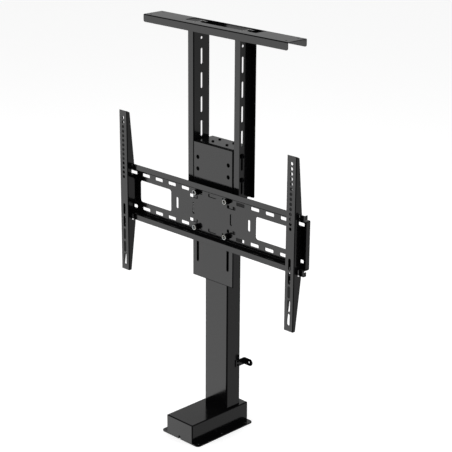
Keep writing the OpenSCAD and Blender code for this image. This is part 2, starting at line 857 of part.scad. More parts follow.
module upright_left() { color(black) mirror([1, 0, 0]) upright(); }
module upright_right() { color(black) upright(); }

// downward channel that carries the lid
module lid_support() {
  mid = (lid_front + lid_back) / 2;
  corner = 5;
  color(black) difference() {
    translate([-lid_l / 2, mid, lid_z]) rotate([0, 90, 0]) rotate([0, 0, -90])
      linear_extrude(height = lid_l) channel(lid_d, lid_flange);
    for (s = [-1, 1]) translate([s * (lid_l / 2 - corner), lid_back + 1, lid_z - lid_flange + corner])
      rotate([90, 0, 0]) linear_extrude(height = lid_d + 2) corner_off(corner, s, -1);
    translate([0, 1.5, lid_z - sheet - 1]) linear_extrude(height = sheet + 2) rr(246, 37, 4);
    for (sx = [-1, 1], sy = [-1, 1])
      hole_z(sx * lid_hole_span / 2, mid + sy * lid_hole_depth / 2,
        lid_z - sheet - 1, lid_z + 1, lid_hole_d);
    for (sx = [-1, 1]) {
      hole_z(sx * lid_screw_x, lid_screw_y[0], lid_z - sheet - 1, lid_z + 1, 6.4);
      translate([sx * lid_screw_x, lid_screw_y[0], lid_z - sheet])
        cylinder(r1 = 3.2, r2 = 5.2, h = sheet + eps);
    }
  }
}

// threaded blocks inside the uprights' heads
block_h = 12;
block_front = 6;
block_rear = 9;
module head_blocks() {
  color(steel) for (s = [-1, 1]) mirror([s < 0 ? 1 : 0, 0, 0]) difference() {
    translate([up_in + sheet + 0.5, up_front + block_front, up_top - sheet - block_h])
      cube([upright_flange - sheet - 1, upright_d - block_front - block_rear, block_h]);
    for (y = lid_screw_y) hole_z(lid_screw_x, y, up_top - sheet - block_h - 1, up_top, 6);
  }
}

// two countersunk and two low-head screws
module lid_screws() {
  color(zinc) for (s = [-1, 1]) {
    translate([s * lid_screw_x, lid_screw_y[0], 0]) difference() {
      union() {
        hole_z(0, 0, lid_z - lid_screw_l, lid_z - eps, 6);
        translate([0, 0, lid_z - sheet]) cylinder(r1 = 3, r2 = 5, h = sheet);
      }
      translate([0, 0, lid_z - 2.5]) cylinder(r = 2, h = 4, $fn = 6);
    }
    translate([s * lid_screw_x, lid_screw_y[1], 0]) difference() {
      union() {
        hole_z(0, 0, lid_z - lid_screw_l, up_top + 1, 6);
        hole_z(0, 0, up_top, up_top + 2, 11);
      }
      translate([0, 0, up_top - 1.5]) cylinder(r = 2.4, h = 4, $fn = 6);
    }
  }
}

// half of the hat profile and its mirror image, web at y = 0, height along y
module hat_section() {
  depth = sheet + tv_ledge;
  for (m = [0, 1]) mirror([0, m, 0]) {
    translate([-sheet, -eps]) square([sheet, ledge_in - fold_r + 2 * eps]);
    fold_at(-fold_r, ledge_in - fold_r, 1, 1);
    translate([-depth + fold_r, ledge_in - sheet]) square([depth - 2 * fold_r, sheet]);
    fold_at(-depth + fold_r, ledge_in + bend_r, -1, -1);
    translate([-depth, ledge_in + bend_r]) square([sheet, tv_lip - bend_r]);
  }
}

// hat-section plate with slots and windows
module tv_plate() {
  h = tv_l / 2;
  end_h = 59.5;
  color(black) difference() {
    union() {
      translate([-h, tv_back, tv_z]) rotate([90, 0, 90]) linear_extrude(height = tv_l)
        hat_section();
      for (s = [-1, 1]) {
        translate([s > 0 ? h - sheet : -h, tv_face - 11, tv_z - end_h])
          cube([sheet, 11 + sheet, 2 * end_h]);
        for (t = [-1, 1])
          translate([s > 0 ? h - sheet : -h, lip_face, t > 0 ? tv_z + tv_half - 10.5 : tv_z - tv_half])
            cube([sheet, 9.7, 10.5]);
      }
    }
    for (k = [-6 : 6], r = [-1, 1])
      win_y(k * tv_pitch, tv_face - 1, tv_back + 1, tv_z + r * tv_rows / 2,
        tv_slot_l, tv_slot_h, 2.5);
    for (sx = [-1, 1]) {
      for (r = [-1, 1])
        win_y(sx * 68, tv_face - 1, tv_back + 1, tv_z + r * 32.5, 30, tv_slot_h, 2.5);
      for (x = [68, 130])
        slot_y(sx * x, tv_face - 1, tv_back + 1, tv_z, 31, 8.5);
      win_y(sx * (window_in + window_out) / 2, tv_face - 1, tv_back + 1, tv_z,
        window_out - window_in, window_h, 7);
    }
  }
}

bolt_z = [tv_z + tv_rows / 2, tv_z - tv_rows / 2];
bolt_x = plate_hole_span / 2;

bolt_seat = tv_face - collar_l;

// zinc socket screws of the tv plate
module plate_bolts() {
  color(zinc) for (sx = [-1, 1], z = bolt_z) difference() {
    union() {
      hole_y(sx * bolt_x, bolt_seat - bolt_head_h, bolt_seat, z, bolt_head_d);
      hole_y(sx * bolt_x, bolt_seat - 1, plate_back + washer_t + nut_h + 1, z, 8);
    }
    hole_y(sx * bolt_x, bolt_seat - bolt_head_h - 1, bolt_seat - 2, z, 8.4);
  }
}

module bolt_collars() {
  color(dark) for (sx = [-1, 1], z = bolt_z) difference() {
    union() {
      hole_y(sx * bolt_x, bolt_seat, tv_face, z, collar_d);
      hole_y(sx * bolt_x, tv_face - 2, tv_face, z, washer_d);
    }
    hole_y(sx * bolt_x, bolt_seat - 1, tv_face + 1, z, 8.4);
  }
}

module plate_nuts() {
  color(zinc) for (sx = [-1, 1], z = bolt_z) difference() {
    union() {
      hole_y(sx * bolt_x, plate_back, plate_back + washer_t, z, washer_d);
      hex_y(sx * bolt_x, plate_back + washer_t, plate_back + washer_t + nut_h, z, 13);
    }
    hole_y(sx * bolt_x, plate_back - 1, plate_back + washer_t + nut_h + 1, z, 8);
  }
}

arm_top = tv_z + 0.5 + arm_l / 2;
arm_low = arm_top - arm_l;
arm_back_mid = lip_face - 2.4;
arm_back_low = arm_y + arm_depth_lip;
arm_hook_z = tv_z + tv_half - 8;
arm_mid_low = tv_z - 32;
arm_mid_top = tv_z + 47;
// growth of the side walls' depth from the arm's top down to the hook
arm_slope = 0.0918;
lip_clear = 1;
lock_y = -51.6;
lock_z = tv_z - tv_half - 16.5;
low_hook = tv_z - ledge_in + sheet + slide_gap;

// side wall outline of an arm, as [y, z] points
arm_side = [
  [arm_y, arm_low], [arm_y + arm_depth_low, arm_low], [arm_back_low, lock_z + 5],
  [arm_back_low, tv_z - tv_half - 3], [arm_back_mid, tv_z - tv_half - 3],
  [arm_back_mid, low_hook], [arm_back_mid + 9, low_hook],
  [arm_back_mid + 9, arm_mid_low - 9], [arm_y + arm_depth_mid, arm_mid_low],
  [arm_y + arm_depth_mid, arm_mid_top], [arm_back_mid, arm_mid_top],
  [arm_back_mid, tv_z + tv_half + slide_gap],
  [lip_face + sheet + lip_clear, tv_z + tv_half + slide_gap],
  [lip_face + sheet + lip_clear, arm_hook_z],
  [arm_y + arm_depth_top + arm_slope * (arm_top - arm_hook_z), arm_hook_z],
  [arm_y + arm_depth_top, arm_top - 4.5], [arm_y + sheet, arm_top], [arm_y, arm_top]];

// arm channel that hooks over the tv plate, centred on x = 0
module arm() {
  difference() {
    union() {
      intersection() {
        translate([0, arm_y, arm_low]) linear_extrude(height = arm_l) channel(arm_w, 40, arm_bend_r);
        translate([-arm_w, 0, 0]) rotate([90, 0, 90]) linear_extrude(height = 2 * arm_w)
          polygon(arm_side);
      }
      translate([-arm_w / 2 + 1, arm_y + 1, lock_z]) cube([arm_w - 2, arm_depth_lip - 1, 3]);
    }
    for (i = [0 : arm_holes - 1])
      hole_y(0, arm_y - 1, arm_y + sheet + 1, arm_top - arm_hole_top - i * arm_hole_pitch,
        arm_hole_d);
    for (i = [0 : 4])
      slot_y(0, arm_y - 1, arm_y + sheet + 1, arm_low + 30.4 + i * arm_slot_pitch,
        arm_slot_l, arm_hole_d);
    hole_z(0, lock_y, lock_z - 1, lock_z + 4, 5);
  }
}
module arm_left() { color(black) translate([-arm_span / 2, 0, 0]) arm(); }
module arm_right() { color(black) translate([arm_span / 2, 0, 0]) arm(); }

// locking screw that comes up behind the lower lip
module lock_screw(x) {
  color(zinc) difference() {
    union() {
      hole_z(x, lock_y, lock_z - lock_drop, tv_z - ledge_in - 2, 5);
      hole_z(x, lock_y, lock_z - lock_drop - lock_head_h, lock_z - lock_drop, lock_head_d);
    }
    translate([x, lock_y, lock_z - lock_drop - lock_head_h - 1])
      cylinder(r = 2.3, h = 5, $fn = 6);
  }
}
module lock_screw_left() { lock_screw(-arm_span / 2); }
module lock_screw_right() { lock_screw(arm_span / 2); }

base_plate();
base_cover();
cover_screws();
column_tube();
column_gussets();
upper_guide();
gearbox_body();
gearbox_cover();
gearbox_screws();
thrust_bearing();
motor_can();
motor_cap();
motor_cradle();
control_board();
board_parts();
power_socket();
wall_clip();
clip_screws();
lead_screw();
worm_wheel();
screw_bush();
worm_shaft();
inner_tube();
end_plug();
plug_screws();
lower_guide();
lead_nut();
nut_pins();
carriage_bracket();
carriage_plate();
slot_rails();
side_bolts();
side_spacers();
side_nuts();
upright_left();
upright_right();
lid_support();
head_blocks();
lid_screws();
tv_plate();
plate_bolts();
bolt_collars();
plate_nuts();
arm_left();
arm_right();
lock_screw_left();
lock_screw_right();
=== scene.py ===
"""Looks of the motorized television lift: its finishes, its screws and nuts with
their sockets and threads, and the parts of the drive. Metres, Z up, the screen side
is -Y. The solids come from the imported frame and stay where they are."""

import math

import bpy
from mathutils import Matrix, Vector


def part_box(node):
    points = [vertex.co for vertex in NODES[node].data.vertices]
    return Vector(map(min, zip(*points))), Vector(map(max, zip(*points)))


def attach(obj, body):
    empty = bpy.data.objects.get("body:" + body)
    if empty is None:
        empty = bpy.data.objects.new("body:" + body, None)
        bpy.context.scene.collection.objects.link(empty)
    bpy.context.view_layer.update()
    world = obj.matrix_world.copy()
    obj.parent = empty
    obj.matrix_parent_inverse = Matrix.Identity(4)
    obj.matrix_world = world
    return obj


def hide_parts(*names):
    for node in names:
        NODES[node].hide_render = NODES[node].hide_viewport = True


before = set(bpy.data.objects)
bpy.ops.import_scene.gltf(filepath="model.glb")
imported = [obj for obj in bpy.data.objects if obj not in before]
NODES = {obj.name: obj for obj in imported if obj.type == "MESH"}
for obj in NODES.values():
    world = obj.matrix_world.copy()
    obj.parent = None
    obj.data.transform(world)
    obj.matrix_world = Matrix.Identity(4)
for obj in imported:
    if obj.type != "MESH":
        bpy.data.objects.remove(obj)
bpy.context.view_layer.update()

MM = 0.001


# Small helpers
def colour(hex_text):
    """An sRGB hex value as linear red, green, blue and alpha."""
    parts = [int(hex_text[i:i + 2], 16) / 255 for i in (1, 3, 5)]
    return [p / 12.92 if p <= 0.04045 else ((p + 0.055) / 1.055) ** 2.4
            for p in parts] + [1.0]


def every(size_mm):
    """The texture scale that repeats a pattern about once in that many millimetres."""
    return 1 / (size_mm * MM)


def put(tree, kind, inputs=None, **settings):
    """Adds a node. An input, by name or number, is a value or another node's socket."""
    node = tree.nodes.new(kind)
    for name, value in settings.items():
        setattr(node, name, value)
    for name, value in (inputs or {}).items():
        if isinstance(value, bpy.types.NodeSocket):
            tree.links.new(value, node.inputs[name])
        else:
            node.inputs[name].default_value = value
    return node


def surface(name, base, metallic=0.0, roughness=0.5, ior=None, edge=0.0):
    """A material with a Principled shader, and its softened edges' normal if edge is
    given in millimetres. Returns the material, its tree, the shader and the normal."""
    material = bpy.data.materials.new(name)
    material.use_nodes = True
    tree = material.node_tree
    shader = tree.nodes["Principled BSDF"]
    shader.inputs["Base Color"].default_value = colour(base)
    shader.inputs["Metallic"].default_value = metallic
    shader.inputs["Roughness"].default_value = roughness
    if ior:
        shader.inputs["IOR"].default_value = ior
    normal = None
    if edge:
        normal = put(tree, "ShaderNodeBevel", {"Radius": edge * MM}, samples=6).outputs[0]
    return material, tree, shader, normal


def noise(tree, size_mm, detail=2.0, stretch=(1, 1, 1), offset=(0, 0, 0)):
    """Noise on the piece's own coordinates, with cells of about that size."""
    at = put(tree, "ShaderNodeTexCoord").outputs["Object"]
    at = put(tree, "ShaderNodeMapping", {"Vector": at, "Scale": stretch,
                                         "Location": offset}).outputs[0]
    return put(tree, "ShaderNodeTexNoise", {
        "Vector": at, "Scale": every(size_mm), "Detail": detail}).outputs["Fac"]


def spread(tree, value, low, high, start=0.3, end=0.7):
    """Noise values between start and end mapped to low and high."""
    return put(tree, "ShaderNodeMapRange", {
        "Value": value, "From Min": start, "From Max": end,
        "To Min": low, "To Max": high}).outputs[0]


def between(tree, factor, first, second):
    """A colour that the factor shifts from the first hex value to the second."""
    return put(tree, "ShaderNodeMix", {
        "Factor": factor, "A": colour(first), "B": colour(second)},
        data_type="RGBA").outputs["Result"]


def relief(tree, height, depth_mm, normal=None):
    """A bump of that depth in millimetres."""
    inputs = {"Height": height, "Distance": depth_mm * MM, "Strength": 1.0}
    if normal:
        inputs["Normal"] = normal
    return put(tree, "ShaderNodeBump", inputs).outputs[0]


# Finishes
def powder_coat():
    """Polyester powder sprayed on folded steel and baked: near black, semi-gloss, so
    the eye sees what it mirrors, a little softened by a fine orange peel."""
    material, tree, shader, normal = surface(
        "powder_coat_black", "#08080a", roughness=0.12, ior=1.7, edge=0.4)
    peel = noise(tree, 2.4, detail=1.0)  # real peel is 1 mm, drawn coarser to show
    cloud = noise(tree, 90.0)
    tree.links.new(relief(tree, peel, 0.004, normal), shader.inputs["Normal"])
    tree.links.new(spread(tree, cloud, 0.12, 0.17), shader.inputs["Roughness"])
    tree.links.new(between(tree, cloud, "#070708", "#0a0a0b"), shader.inputs["Base Color"])
    return material


def zinc_plate():
    """Bright zinc, electroplated on turned steel and passivated clear: a pale mirror
    with a faint bluish and straw cast and fine handling marks."""
    material, tree, shader, normal = surface(
        "zinc_plate_bright", "#c9ccd0", metallic=1.0, roughness=0.24, edge=0.2)
    cast = noise(tree, 4.0)
    marks = noise(tree, 0.8, detail=3.0)
    tree.links.new(between(tree, spread(tree, cast, 0, 1), "#bfc6cf", "#d3d0c4"),
                   shader.inputs["Base Color"])
    tree.links.new(spread(tree, marks, 0.18, 0.32), shader.inputs["Roughness"])
    tree.links.new(relief(tree, marks, 0.006, normal), shader.inputs["Normal"])
    return material


def black_oxide():
    """Steel blackened in a hot salt bath and oiled: a dark grey metal whose thread
    crests and corners look a little brighter."""
    material, tree, shader, normal = surface(
        "black_oxide_steel", "#1b1b1d", metallic=1.0, roughness=0.34, edge=0.25)
    grain = noise(tree, 1.2, detail=3.0)
    tree.links.new(between(tree, spread(tree, grain, 0, 1), "#161618", "#27272a"),
                   shader.inputs["Base Color"])
    tree.links.new(spread(tree, grain, 0.28, 0.42), shader.inputs["Roughness"])
    tree.links.new(relief(tree, grain, 0.004, normal), shader.inputs["Normal"])
    return material


def drawn_steel():
    """Cold-drawn and turned steel under a film of oil: a grey metal with fine lines
    along its length and a slightly uneven sheen."""
    material, tree, shader, normal = surface(
        "drawn_steel_oiled", "#9b9da1", metallic=1.0, roughness=0.3, edge=0.25)
    lines = noise(tree, 0.7, detail=3.0, stretch=(1, 1, 0.02))
    film = noise(tree, 30.0, offset=(0.3, 0.1, 0))
    tree.links.new(between(tree, spread(tree, film, 0, 1), "#8f9196", "#a8a9ab"),
                   shader.inputs["Base Color"])
    tree.links.new(spread(tree, lines, 0.22, 0.38), shader.inputs["Roughness"])
    tree.links.new(relief(tree, lines, 0.01, normal), shader.inputs["Normal"])
    return material


def cast_aluminium():
    """Aluminium from a die, left as cast: pale grey, dull, with a fine sandy skin."""
    material, tree, shader, normal = surface(
        "die_cast_aluminium", "#a9abad", metallic=1.0, roughness=0.45, edge=0.6)
    skin = noise(tree, 0.9, detail=4.0)
    flow = noise(tree, 16.0)
    tree.links.new(between(tree, spread(tree, flow, 0, 1), "#9c9ea1", "#b3b4b5"),
                   shader.inputs["Base Color"])
    tree.links.new(spread(tree, skin, 0.4, 0.55), shader.inputs["Roughness"])
    tree.links.new(relief(tree, skin, 0.03, normal), shader.inputs["Normal"])
    return material


def moulded_nylon():
    """Natural nylon from a mould: waxy off-white, a little see-through at its skin."""
    material, tree, shader, normal = surface(
        "nylon_natural", "#e2dfd4", roughness=0.42, ior=1.53, edge=0.4)
    shader.inputs["Subsurface Weight"].default_value = 0.15
    shader.inputs["Subsurface Radius"].default_value = (0.002, 0.0018, 0.0014)
    flow = noise(tree, 12.0)
    tree.links.new(between(tree, spread(tree, flow, 0, 1), "#dcd8cb", "#e7e4da"),
                   shader.inputs["Base Color"])
    tree.links.new(relief(tree, noise(tree, 1.0), 0.008, normal), shader.inputs["Normal"])
    return material


def gear_bronze():
    """Tin bronze, turned and milled: warm yellow-brown metal with cutter lines."""
    material, tree, shader, normal = surface(
        "tin_bronze_machined", "#b58a4c", metallic=1.0, roughness=0.3, edge=0.2)
    lines = noise(tree, 0.6, detail=3.0, stretch=(1, 1, 0.1))
    tree.links.new(between(tree, spread(tree, lines, 0, 1), "#a97c3f", "#c39a5b"),
                   shader.inputs["Base Color"])
    tree.links.new(spread(tree, lines, 0.24, 0.4), shader.inputs["Roughness"])
    tree.links.new(relief(tree, lines, 0.01, normal), shader.inputs["Normal"])
    return material


def black_moulding():
    """Glass-filled black plastic with a sparked mould's fine, even grain."""
    material, tree, shader, normal = surface(
        "moulded_plastic_black", "#161617", roughness=0.5, ior=1.5, edge=0.4)
    grain = noise(tree, 0.8, detail=3.0)
    tree.links.new(spread(tree, grain, 0.42, 0.58), shader.inputs["Roughness"])
    tree.links.new(between(tree, grain, "#131314", "#1a1a1b"), shader.inputs["Base Color"])
    tree.links.new(relief(tree, grain, 0.02, normal), shader.inputs["Normal"])
    return material


def moulded_rubber():
    """Black nitrile rubber: dull, dusted grey where it was handled."""
    material, tree, shader, normal = surface(
        "nitrile_rubber", "#1c1c1c", roughness=0.8, ior=1.52, edge=0.5)
    dust = noise(tree, 9.0, detail=4.0)
    tree.links.new(between(tree, spread(tree, dust, 0, 1, 0.45, 0.8), "#191919", "#2d2c2b"),
                   shader.inputs["Base Color"])
    tree.links.new(relief(tree, noise(tree, 0.7), 0.02, normal), shader.inputs["Normal"])
    return material


def solder_mask():
    """Green solder resist over copper tracks: a glossy lacquer, a little lighter and
    raised over the tracks, which run square across the board."""
    material, tree, shader, normal = surface(
        "solder_mask_green", "#14502f", roughness=0.22, ior=1.55, edge=0.2)
    at = put(tree, "ShaderNodeTexCoord").outputs["Object"]
    tracks = put(tree, "ShaderNodeTexBrick", {
        "Vector": at, "Scale": every(16.0), "Mortar Size": 0.05, "Brick Width": 0.5,
        "Row Height": 0.25, "Color1": (0, 0, 0, 1), "Color2": (0, 0, 0, 1),
        "Mortar": (1, 1, 1, 1)}).outputs["Color"]
    tree.links.new(between(tree, tracks, "#124a2b", "#2a7247"), shader.inputs["Base Color"])
    tree.links.new(relief(tree, tracks, 0.03, normal), shader.inputs["Normal"])
    return material


FINISH = {
    "gloss_black": powder_coat(),
    "zinc": zinc_plate(),
    "black_steel": black_oxide(),
    "machined_steel": drawn_steel(),
    "cast_aluminium": cast_aluminium(),
    "nylon": moulded_nylon(),
    "bronze": gear_bronze(),
    "black_plastic": black_moulding(),
    "rubber": moulded_rubber(),
    "circuit_board": solder_mask(),
}

for node in NODES.values():
    for holder in node.material_slots:
        holder.material = FINISH[holder.material.name.split(".")[0]]


# Turned pieces, made by Geometry Nodes
def maths(tree, kind, *values):
    """The result of a Math node on numbers and sockets."""
    return put(tree, "ShaderNodeMath", dict(enumerate(values)), operation=kind).outputs[0]


def turned(name, sizes, profile, thread_after, columns=24):
    """A tree that turns a closed profile about Z and sets it on each point, along the
    point's direction. Its sizes are named inputs in millimetres. The profile gives rows
    of (radius, height, hexagon, cross, corner drop) from the tip up the outside. Rows
    of a helical thread are added after the row thread_after, up to the next one."""
    tree = bpy.data.node_groups.new(name, "GeometryNodeTree")
    sockets = tree.interface.new_socket
    sockets("Geometry", in_out="INPUT", socket_type="NodeSocketGeometry")
    for label in sizes + ("Pitch", "Thread Depth", "Starts"):
        sockets(label, in_out="INPUT", socket_type="NodeSocketFloat")
    sockets("Finish", in_out="INPUT", socket_type="NodeSocketMaterial")
    sockets("Geometry", in_out="OUTPUT", socket_type="NodeSocketGeometry")
    given = tree.nodes.new("NodeGroupInput").outputs

    def calc(kind, *values):
        return maths(tree, kind, *values)

    rows = profile(given, calc)
    first, last = rows[thread_after], rows[thread_after + 1]
    length = calc("ABSOLUTE", calc("SUBTRACT", last[1], first[1]))
    rows_per_turn = 6
    extra = calc("ROUND", calc("MULTIPLY", calc("DIVIDE", length, given["Pitch"]),
                               rows_per_turn))
    count = calc("ADD", extra, len(rows))
    grid = put(tree, "GeometryNodeMeshGrid", {
        "Size X": 1.0, "Size Y": 1.0, "Vertices X": columns + 1, "Vertices Y": count})
    place = put(tree, "ShaderNodeSeparateXYZ", {
        0: tree.nodes.new("GeometryNodeInputPosition").outputs[0]}).outputs
    angle = calc("MULTIPLY", calc("ADD", place["X"], 0.5), math.tau)
    row = calc("ROUND", calc("MULTIPLY", calc("ADD", place["Y"], 0.5),
                             calc("SUBTRACT", count, 1)))
    anchor = calc("ADD", calc("MINIMUM", row, thread_after),
                  calc("MAXIMUM", calc("SUBTRACT", row, calc("ADD", extra, thread_after)), 0))
    part = calc("DIVIDE", calc("SUBTRACT", row, thread_after), calc("ADD", extra, 1))
    inside = calc("MULTIPLY", calc("GREATER_THAN", part, 0), calc("LESS_THAN", part, 1))
    part = calc("MULTIPLY", part, inside)

    def column(number):
        """What a column of the profile gives on this row."""
        pick = put(tree, "GeometryNodeIndexSwitch", data_type="FLOAT")
        while len(pick.index_switch_items) < len(rows):
            pick.index_switch_items.new()
        tree.links.new(anchor, pick.inputs[0])
        for index, entry in enumerate(rows):
            value = entry[number] if number < len(entry) else 0.0
            if isinstance(value, bpy.types.NodeSocket):
                tree.links.new(value, pick.inputs[index + 1])
            else:
                pick.inputs[index + 1].default_value = value
        return pick.outputs[0]

    def mixed(number):
        """The same, moved between the two ends of the thread on the thread's rows."""
        step = calc("SUBTRACT", last[number], first[number])
        return calc("ADD", column(number), calc("MULTIPLY", step, part))

    radius, height = mixed(0), mixed(1)
    flats = calc("DIVIDE", 1, calc("COSINE", calc("WRAP", angle, math.pi / 6, -math.pi / 6)))
    arms = calc("ADD", 0.36, calc("MULTIPLY", 0.64, calc("GREATER_THAN", calc(
        "ABSOLUTE", calc("COSINE", calc("MULTIPLY", angle, 2))), 0.93)))
    shape = calc("ADD", 1, calc("MULTIPLY", column(2), calc("SUBTRACT", flats, 1)))
    shape = calc("ADD", shape, calc("MULTIPLY", column(3), calc("SUBTRACT", arms, 1)))
    wide = calc("MULTIPLY", radius, shape)
    height = calc("SUBTRACT", height, calc("MULTIPLY", column(4),
                                           calc("SUBTRACT", wide, radius)))
    turn = calc("SUBTRACT", calc("DIVIDE", height, given["Pitch"]),
                calc("MULTIPLY", given["Starts"], calc("DIVIDE", angle, math.tau)))
    wave = calc("PINGPONG", calc("MULTIPLY", turn, 2), 1)
    groove = calc("MULTIPLY", calc("MULTIPLY", wave, inside), given["Thread Depth"])
    wide = calc("SUBTRACT", wide, groove)
    point = put(tree, "ShaderNodeCombineXYZ", {
        0: calc("MULTIPLY", wide, calc("COSINE", angle)),
        1: calc("MULTIPLY", wide, calc("SINE", angle)), 2: height}).outputs[0]
    point = put(tree, "ShaderNodeVectorMath", {0: point, "Scale": MM},
                operation="SCALE").outputs[0]
    shell = put(tree, "GeometryNodeSetPosition", {
        "Geometry": grid.outputs["Mesh"], "Position": point}).outputs[0]
    shell = put(tree, "GeometryNodeMergeByDistance", {
        "Geometry": shell, "Distance": 0.002 * MM}).outputs[0]
    set_on_points(tree, given, shell)
    return tree


def set_on_points(tree, given, shell):
    """Ends a tree: the shell with soft shading below 35 degrees, on every point, each
    turned by a fixed random angle, as real geometry in its finish."""
    edge = put(tree, "GeometryNodeInputMeshEdgeAngle").outputs["Unsigned Angle"]
    soft = maths(tree, "LESS_THAN", edge, math.radians(35))
    shell = put(tree, "GeometryNodeSetShadeSmooth", {
        "Geometry": shell, "Shade Smooth": True}, domain="FACE").outputs[0]
    shell = put(tree, "GeometryNodeSetShadeSmooth", {
        "Geometry": shell, "Shade Smooth": soft}, domain="EDGE").outputs[0]
    spin = put(tree, "FunctionNodeRandomValue", {"Seed": 7}, data_type="FLOAT")
    spin.inputs[3].default_value = math.tau
    spin = put(tree, "FunctionNodeAxisAngleToRotation", {
        "Axis": (0, 0, 1), "Angle": spin.outputs[1]}).outputs[0]
    way = put(tree, "GeometryNodeInputNamedAttribute", {"Name": "along"},
              data_type="FLOAT_VECTOR").outputs[0]
    aim = put(tree, "FunctionNodeAlignRotationToVector", {
        "Rotation": spin, "Vector": way}, axis="Z").outputs[0]
    copies = put(tree, "GeometryNodeInstanceOnPoints", {
        "Points": given["Geometry"], "Instance": shell, "Rotation": aim}).outputs[0]
    real = put(tree, "GeometryNodeRealizeInstances", {"Geometry": copies}).outputs[0]
    real = put(tree, "GeometryNodeSetMaterial", {
        "Geometry": real, "Material": given["Finish"]}).outputs[0]
    put(tree, "NodeGroupOutput", {0: real})


def fit(name, tree, places, sizes, slot, body, *nodes):
    """Sets the tree's piece at places, (point in millimetres, direction), as one plain
    mesh that rides on the body and stands for the nodes."""
    points = bpy.data.meshes.new("points")
    points.from_pydata([[c * MM for c in point] for point, _ in places], [], [])
    along = points.attributes.new("along", "FLOAT_VECTOR", "POINT")
    along.data.foreach_set("vector", [float(c) for _, way in places for c in way])
    piece = bpy.data.objects.new(name, points)
    bpy.context.scene.collection.objects.link(piece)
    modifier = piece.modifiers.new("pieces", "NODES")
    modifier.node_group = tree
    for socket in tree.interface.items_tree:
        if socket.name in sizes:
            modifier[socket.identifier] = float(sizes[socket.name])
        elif socket.name == "Finish":
            modifier[socket.identifier] = FINISH[slot]
    graph = bpy.context.evaluated_depsgraph_get()
    result = bpy.data.meshes.new_from_object(piece.evaluated_get(graph), depsgraph=graph)
    piece.modifiers.clear()
    piece.data = result
    result.name = name
    bpy.data.meshes.remove(points)
    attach(piece, body)
    if nodes:
        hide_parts(*nodes)
    return piece


def screw_rows(given, calc):
    """A screw: tip, threaded shank, plain neck, cone or flat seat at Z = 0, head with a
    chamfered rim, and a hexagon socket or cross recess."""
    shank = calc("MULTIPLY", given["Shank"], 0.5)
    head = calc("MULTIPLY", given["Head"], 0.5)
    drive = calc("MULTIPLY", given["Drive"], 0.5)
    tip = calc("MULTIPLY", given["Length"], -1)
    seat = calc("MULTIPLY", given["Cone"], -1)
    bevel = given["Chamfer"]
    rise = given["Rise"]
    floor_z = calc("SUBTRACT", rise, given["Drive Depth"])
    hexagon, cross = calc("SUBTRACT", 1, given["Cross"]), given["Cross"]
    point = calc("MULTIPLY", given["Shank"], 0.14)
    return [
        (0.0, tip), (calc("SUBTRACT", shank, point), tip),
        (shank, calc("ADD", tip, point)),
        (shank, calc("SUBTRACT", seat, given["Neck"])), (shank, seat), (head, 0.0),
        (head, calc("SUBTRACT", rise, bevel)), (calc("SUBTRACT", head, bevel), rise),
        (calc("MULTIPLY", drive, 1.22), rise),
        (drive, calc("SUBTRACT", rise, calc("MULTIPLY", drive, 0.1)), hexagon, cross),
        (drive, floor_z, hexagon, cross),
        (0.0, calc("SUBTRACT", floor_z, calc("MULTIPLY", drive, 0.4)))]


def nut_rows(given, calc):
    """A hexagon nut on a round washer face, its corners cut at 30 degrees, with a
    countersunk, threaded bore. The bearing face is at Z = 0."""
    bore = calc("MULTIPLY", given["Bore"], 0.5)
    face = calc("MULTIPLY", given["Face"], 0.5)
    flat = calc("MULTIPLY", given["Across"], 0.5)
    rim, top = given["Face Height"], given["Height"]
    lead_in = 0.5
    return [
        (bore, 0.0), (face, 0.0), (face, rim), (flat, rim, 1.0),
        (flat, top, 1.0, 0.0, math.tan(math.radians(30))),
        (calc("MULTIPLY", flat, 0.94), top), (calc("ADD", bore, lead_in), top),
        (bore, calc("SUBTRACT", top, lead_in)), (bore, lead_in / 2), (bore, 0.0)]


def ring_rows(given, calc):
    """A stepped ring with broken edges: a wide foot at Z = 0, a body and a bore."""
    bore = calc("MULTIPLY", given["Bore"], 0.5)
    foot = calc("MULTIPLY", given["Foot"], 0.5)
    body = calc("MULTIPLY", given["Body"], 0.5)
    step, top, bevel = given["Foot Height"], given["Height"], given["Chamfer"]
    return [
        (bore, 0.0), (calc("SUBTRACT", foot, bevel), 0.0), (foot, bevel),
        (foot, calc("SUBTRACT", step, bevel)), (calc("SUBTRACT", foot, bevel), step),
        (body, step), (body, calc("SUBTRACT", top, bevel)),
        (calc("SUBTRACT", body, bevel), top), (calc("ADD", bore, bevel), top),
        (bore, calc("SUBTRACT", top, bevel)), (bore, 0.0)]


def spindle_rows(given, calc):
    """The lead screw: journals, thrust collar, a long two-start thread and a top pin."""
    radius = calc("MULTIPLY", given["Diameter"], 0.5)
    top = given["Top"]
    pin = calc("SUBTRACT", top, 10.0)
    return [
        (0.0, 8.0), (3.4, 8.0), (4.0, 8.6), (4.0, 24.5), (5.0, 24.5), (5.0, 42.0),
        (6.0, 42.0), (6.0, 53.3), (10.5, 53.3), (11.0, 53.8), (11.0, 56.5), (10.5, 57.0),
        (radius, 57.0), (radius, pin), (6.0, pin), (6.0, calc("SUBTRACT", top, 0.8)),
        (5.2, top), (0.0, top)]


def bearing_balls():
    """A tree that sets one steel ball on every point."""
    tree = bpy.data.node_groups.new("bearing_balls", "GeometryNodeTree")
    sockets = tree.interface.new_socket
    sockets("Geometry", in_out="INPUT", socket_type="NodeSocketGeometry")
    sockets("Ball", in_out="INPUT", socket_type="NodeSocketFloat")
    sockets("Finish", in_out="INPUT", socket_type="NodeSocketMaterial")
    sockets("Geometry", in_out="OUTPUT", socket_type="NodeSocketGeometry")
    given = tree.nodes.new("NodeGroupInput").outputs
    ball = put(tree, "GeometryNodeMeshIcoSphere", {
        "Radius": maths(tree, "MULTIPLY", given["Ball"], 0.5 * MM), "Subdivisions": 3})
    set_on_points(tree, given, ball.outputs["Mesh"])
    return tree


